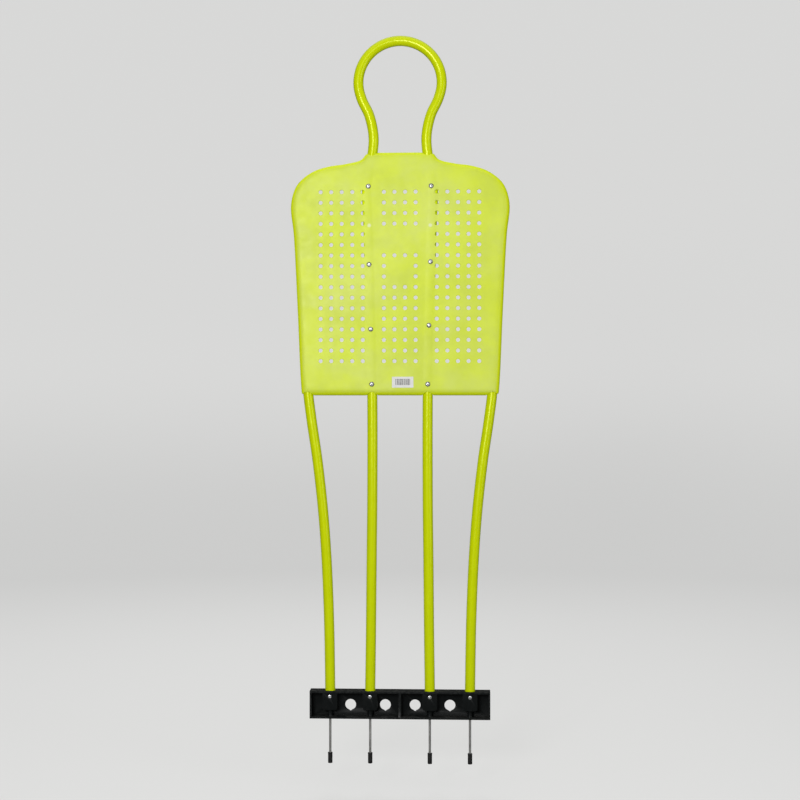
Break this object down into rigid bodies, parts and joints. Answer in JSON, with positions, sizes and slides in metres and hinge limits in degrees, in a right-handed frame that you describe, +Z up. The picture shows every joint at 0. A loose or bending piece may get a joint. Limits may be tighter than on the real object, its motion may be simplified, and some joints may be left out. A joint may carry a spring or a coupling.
{
  "type": "free kick mannequin",
  "caption": "Standing player silhouette of bent steel tube with a perforated plastic chest panel, on a black base bar with capped ground spikes.",
  "frame": {"origin": "middle of the underside of the base bar, which rests on the ground", "axes": "+Z up along the legs, front facing -Y, +X to the right seen from the front"},
  "size_m": [0.5426, 0.0363, 1.8022],
  "materials": {
    "panel_plastic": "satin moulded fluorescent yellow polyethylene",
    "tube_paint": "glossy fluorescent yellow powder coat on steel tube",
    "bar_plastic": "black moulded plastic, slightly shiny",
    "spike_steel": "plain drawn steel",
    "screw_steel": "zinc plated",
    "rivet_metal": "satin",
    "cap_rubber": "dull black",
    "label_paper": "white sticker, bare of text"
  },
  "bodies": {
    "frame": {"chest_panel": "panel_plastic", "inner_frame_tube": "tube_paint", "outer_tube_left": "tube_paint", "outer_tube_right": "tube_paint", "base_bar": "bar_plastic", "label": "label_paper", "panel_rivet_left_1": "rivet_metal", "panel_rivet_right_1": "rivet_metal", "panel_rivet_left_2": "rivet_metal", "panel_rivet_right_2": "rivet_metal", "panel_rivet_left_3": "rivet_metal", "panel_rivet_right_3": "rivet_metal", "panel_rivet_left_4": "rivet_metal", "panel_rivet_right_4": "rivet_metal", "base_screw_outer_left": "screw_steel", "base_screw_inner_left": "screw_steel", "base_screw_inner_right": "screw_steel", "base_screw_outer_right": "screw_steel", "ground_spike_outer_left": "spike_steel", "ground_spike_inner_left": "spike_steel", "ground_spike_inner_right": "spike_steel", "ground_spike_outer_right": "spike_steel"},
    "cap_outer_left": {"spike_cap_outer_left": "cap_rubber"},
    "cap_inner_left": {"spike_cap_inner_left": "cap_rubber"},
    "cap_inner_right": {"spike_cap_inner_right": "cap_rubber"},
    "cap_outer_right": {"spike_cap_outer_right": "cap_rubber"}
  },
  "joints": [
    {"name": "cap_pull_outer_left", "type": "slide", "parent": "frame", "child": "cap_outer_left", "axis": [0, 0, -1], "range_m": [0, 0.06]},
    {"name": "cap_pull_inner_left", "type": "slide", "parent": "frame", "child": "cap_inner_left", "axis": [0, 0, -1], "range_m": [0, 0.06]},
    {"name": "cap_pull_inner_right", "type": "slide", "parent": "frame", "child": "cap_inner_right", "axis": [0, 0, -1], "range_m": [0, 0.06]},
    {"name": "cap_pull_outer_right", "type": "slide", "parent": "frame", "child": "cap_outer_right", "axis": [0, 0, -1], "range_m": [0, 0.06]}
  ]
}
